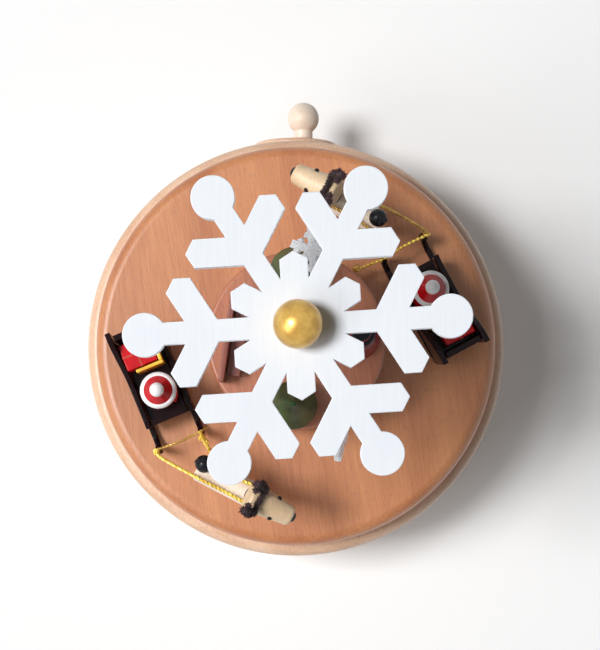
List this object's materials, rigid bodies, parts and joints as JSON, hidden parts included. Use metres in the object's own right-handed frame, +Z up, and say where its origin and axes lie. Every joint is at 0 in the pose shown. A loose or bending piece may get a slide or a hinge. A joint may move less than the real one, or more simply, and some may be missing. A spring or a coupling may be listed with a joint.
{
  "type": "music box",
  "caption": "Hand-cranked wooden music box: a winter scene with sleighs and reindeer turns on a round beech base under a large snowflake.",
  "frame": {"origin": "middle of the felt's underside, on the turntable's axis, where the music box stands", "axes": "+Z up along the turntable's axis, +Y from the middle to the crank at the back, +X to the right seen from the side away from the crank"},
  "size_m": [0.11, 0.1215, 0.1319],
  "materials": {
    "beech": "satin varnish",
    "warm_beech": "satin varnish over a warm stain",
    "pale_wood": "satin varnish",
    "red_brown_wood": "stained, satin",
    "plywood": "bare, sanded",
    "white_paint": "matte white paint",
    "green_paint": "gloss dark green paint",
    "black_paint": "gloss black paint",
    "maroon_paint": "gloss dark maroon paint",
    "red_paint": "satin red paint",
    "gold_paint": "satin gold paint",
    "antler_brown": "dark brown pile",
    "gold_cord": "twisted gold thread",
    "white_wire": "white lacquered wire",
    "felt": "felt",
    "steel": "bright",
    "brass": "machined"
  },
  "bodies": {
    "base": {"base_body": "beech", "bearing_plate": "plywood", "bottom_cover": "plywood", "base_felt": "felt", "cover_screw_1": "steel", "cover_screw_2": "steel", "cover_screw_3": "steel", "movement_frame": "steel", "comb": "steel", "crank_bush": "brass", "spindle_bush": "brass", "footstep_bearing": "brass"},
    "carousel": {"spindle": "steel", "crown_gear": "brass", "turntable": "warm_beech", "pedestal": "warm_beech", "pole": "white_paint", "snowflake": "white_paint", "gold_ball": "gold_paint", "hanger_1": "white_wire", "hanger_2": "white_wire", "small_snowflake_1": "white_paint", "small_snowflake_2": "white_paint", "tree_north": "green_paint", "tree_south": "green_paint", "bench_back": "red_brown_wood", "bench_seat": "red_brown_wood", "guest": "maroon_paint", "guest_hat": "black_paint", "sleigh_1_inner_side": "maroon_paint", "sleigh_1_outer_side": "maroon_paint", "sleigh_1_seat": "maroon_paint", "gift_1": "red_paint", "rider_1": "red_paint", "rider_1_hat": "red_paint", "sleigh_2_inner_side": "maroon_paint", "sleigh_2_outer_side": "maroon_paint", "sleigh_2_seat": "maroon_paint", "gift_2": "red_paint", "rider_2": "red_paint", "rider_2_hat": "red_paint", "reindeer_1_body": "pale_wood", "reindeer_1_head": "pale_wood", "reindeer_1_antlers": "antler_brown", "reindeer_1_tail": "black_paint", "reindeer_2_body": "pale_wood", "reindeer_2_head": "pale_wood", "reindeer_2_antlers": "antler_brown", "reindeer_2_tail": "black_paint", "rein_1": "gold_cord", "rein_2": "gold_cord"},
    "crank": {"crank_shaft": "steel", "crown_pinion": "brass", "drum_pinion": "brass", "crank_disc": "beech", "grip_pin": "steel"},
    "grip": {"grip_ball": "pale_wood"},
    "drum": {"drum": "brass", "drum_arbor": "steel", "drum_wheel": "brass"}
  },
  "joints": [
    {"name": "carousel_turn", "type": "hinge", "parent": "base", "child": "carousel", "pos_m": [0, 0, 0.034], "axis": [0, 0, 1], "continuous": true},
    {"name": "crank_turn", "type": "hinge", "parent": "base", "child": "crank", "pos_m": [0, 0.047, 0.017], "axis": [0, 1, 0], "continuous": true},
    {"name": "drum_turn", "type": "hinge", "parent": "base", "child": "drum", "pos_m": [0.01043, 0, 0.0142], "axis": [0, 1, 0], "continuous": true},
    {"name": "grip_spin", "type": "hinge", "parent": "crank", "child": "grip", "pos_m": [0.00208, 0.0567, 0.02316], "axis": [0, 1, 0], "continuous": true}
  ],
  "couplings": [
    {"joint": "crank_turn", "follows": "carousel_turn", "ratio": -3},
    {"joint": "drum_turn", "follows": "carousel_turn", "ratio": 1.5}
  ]
}
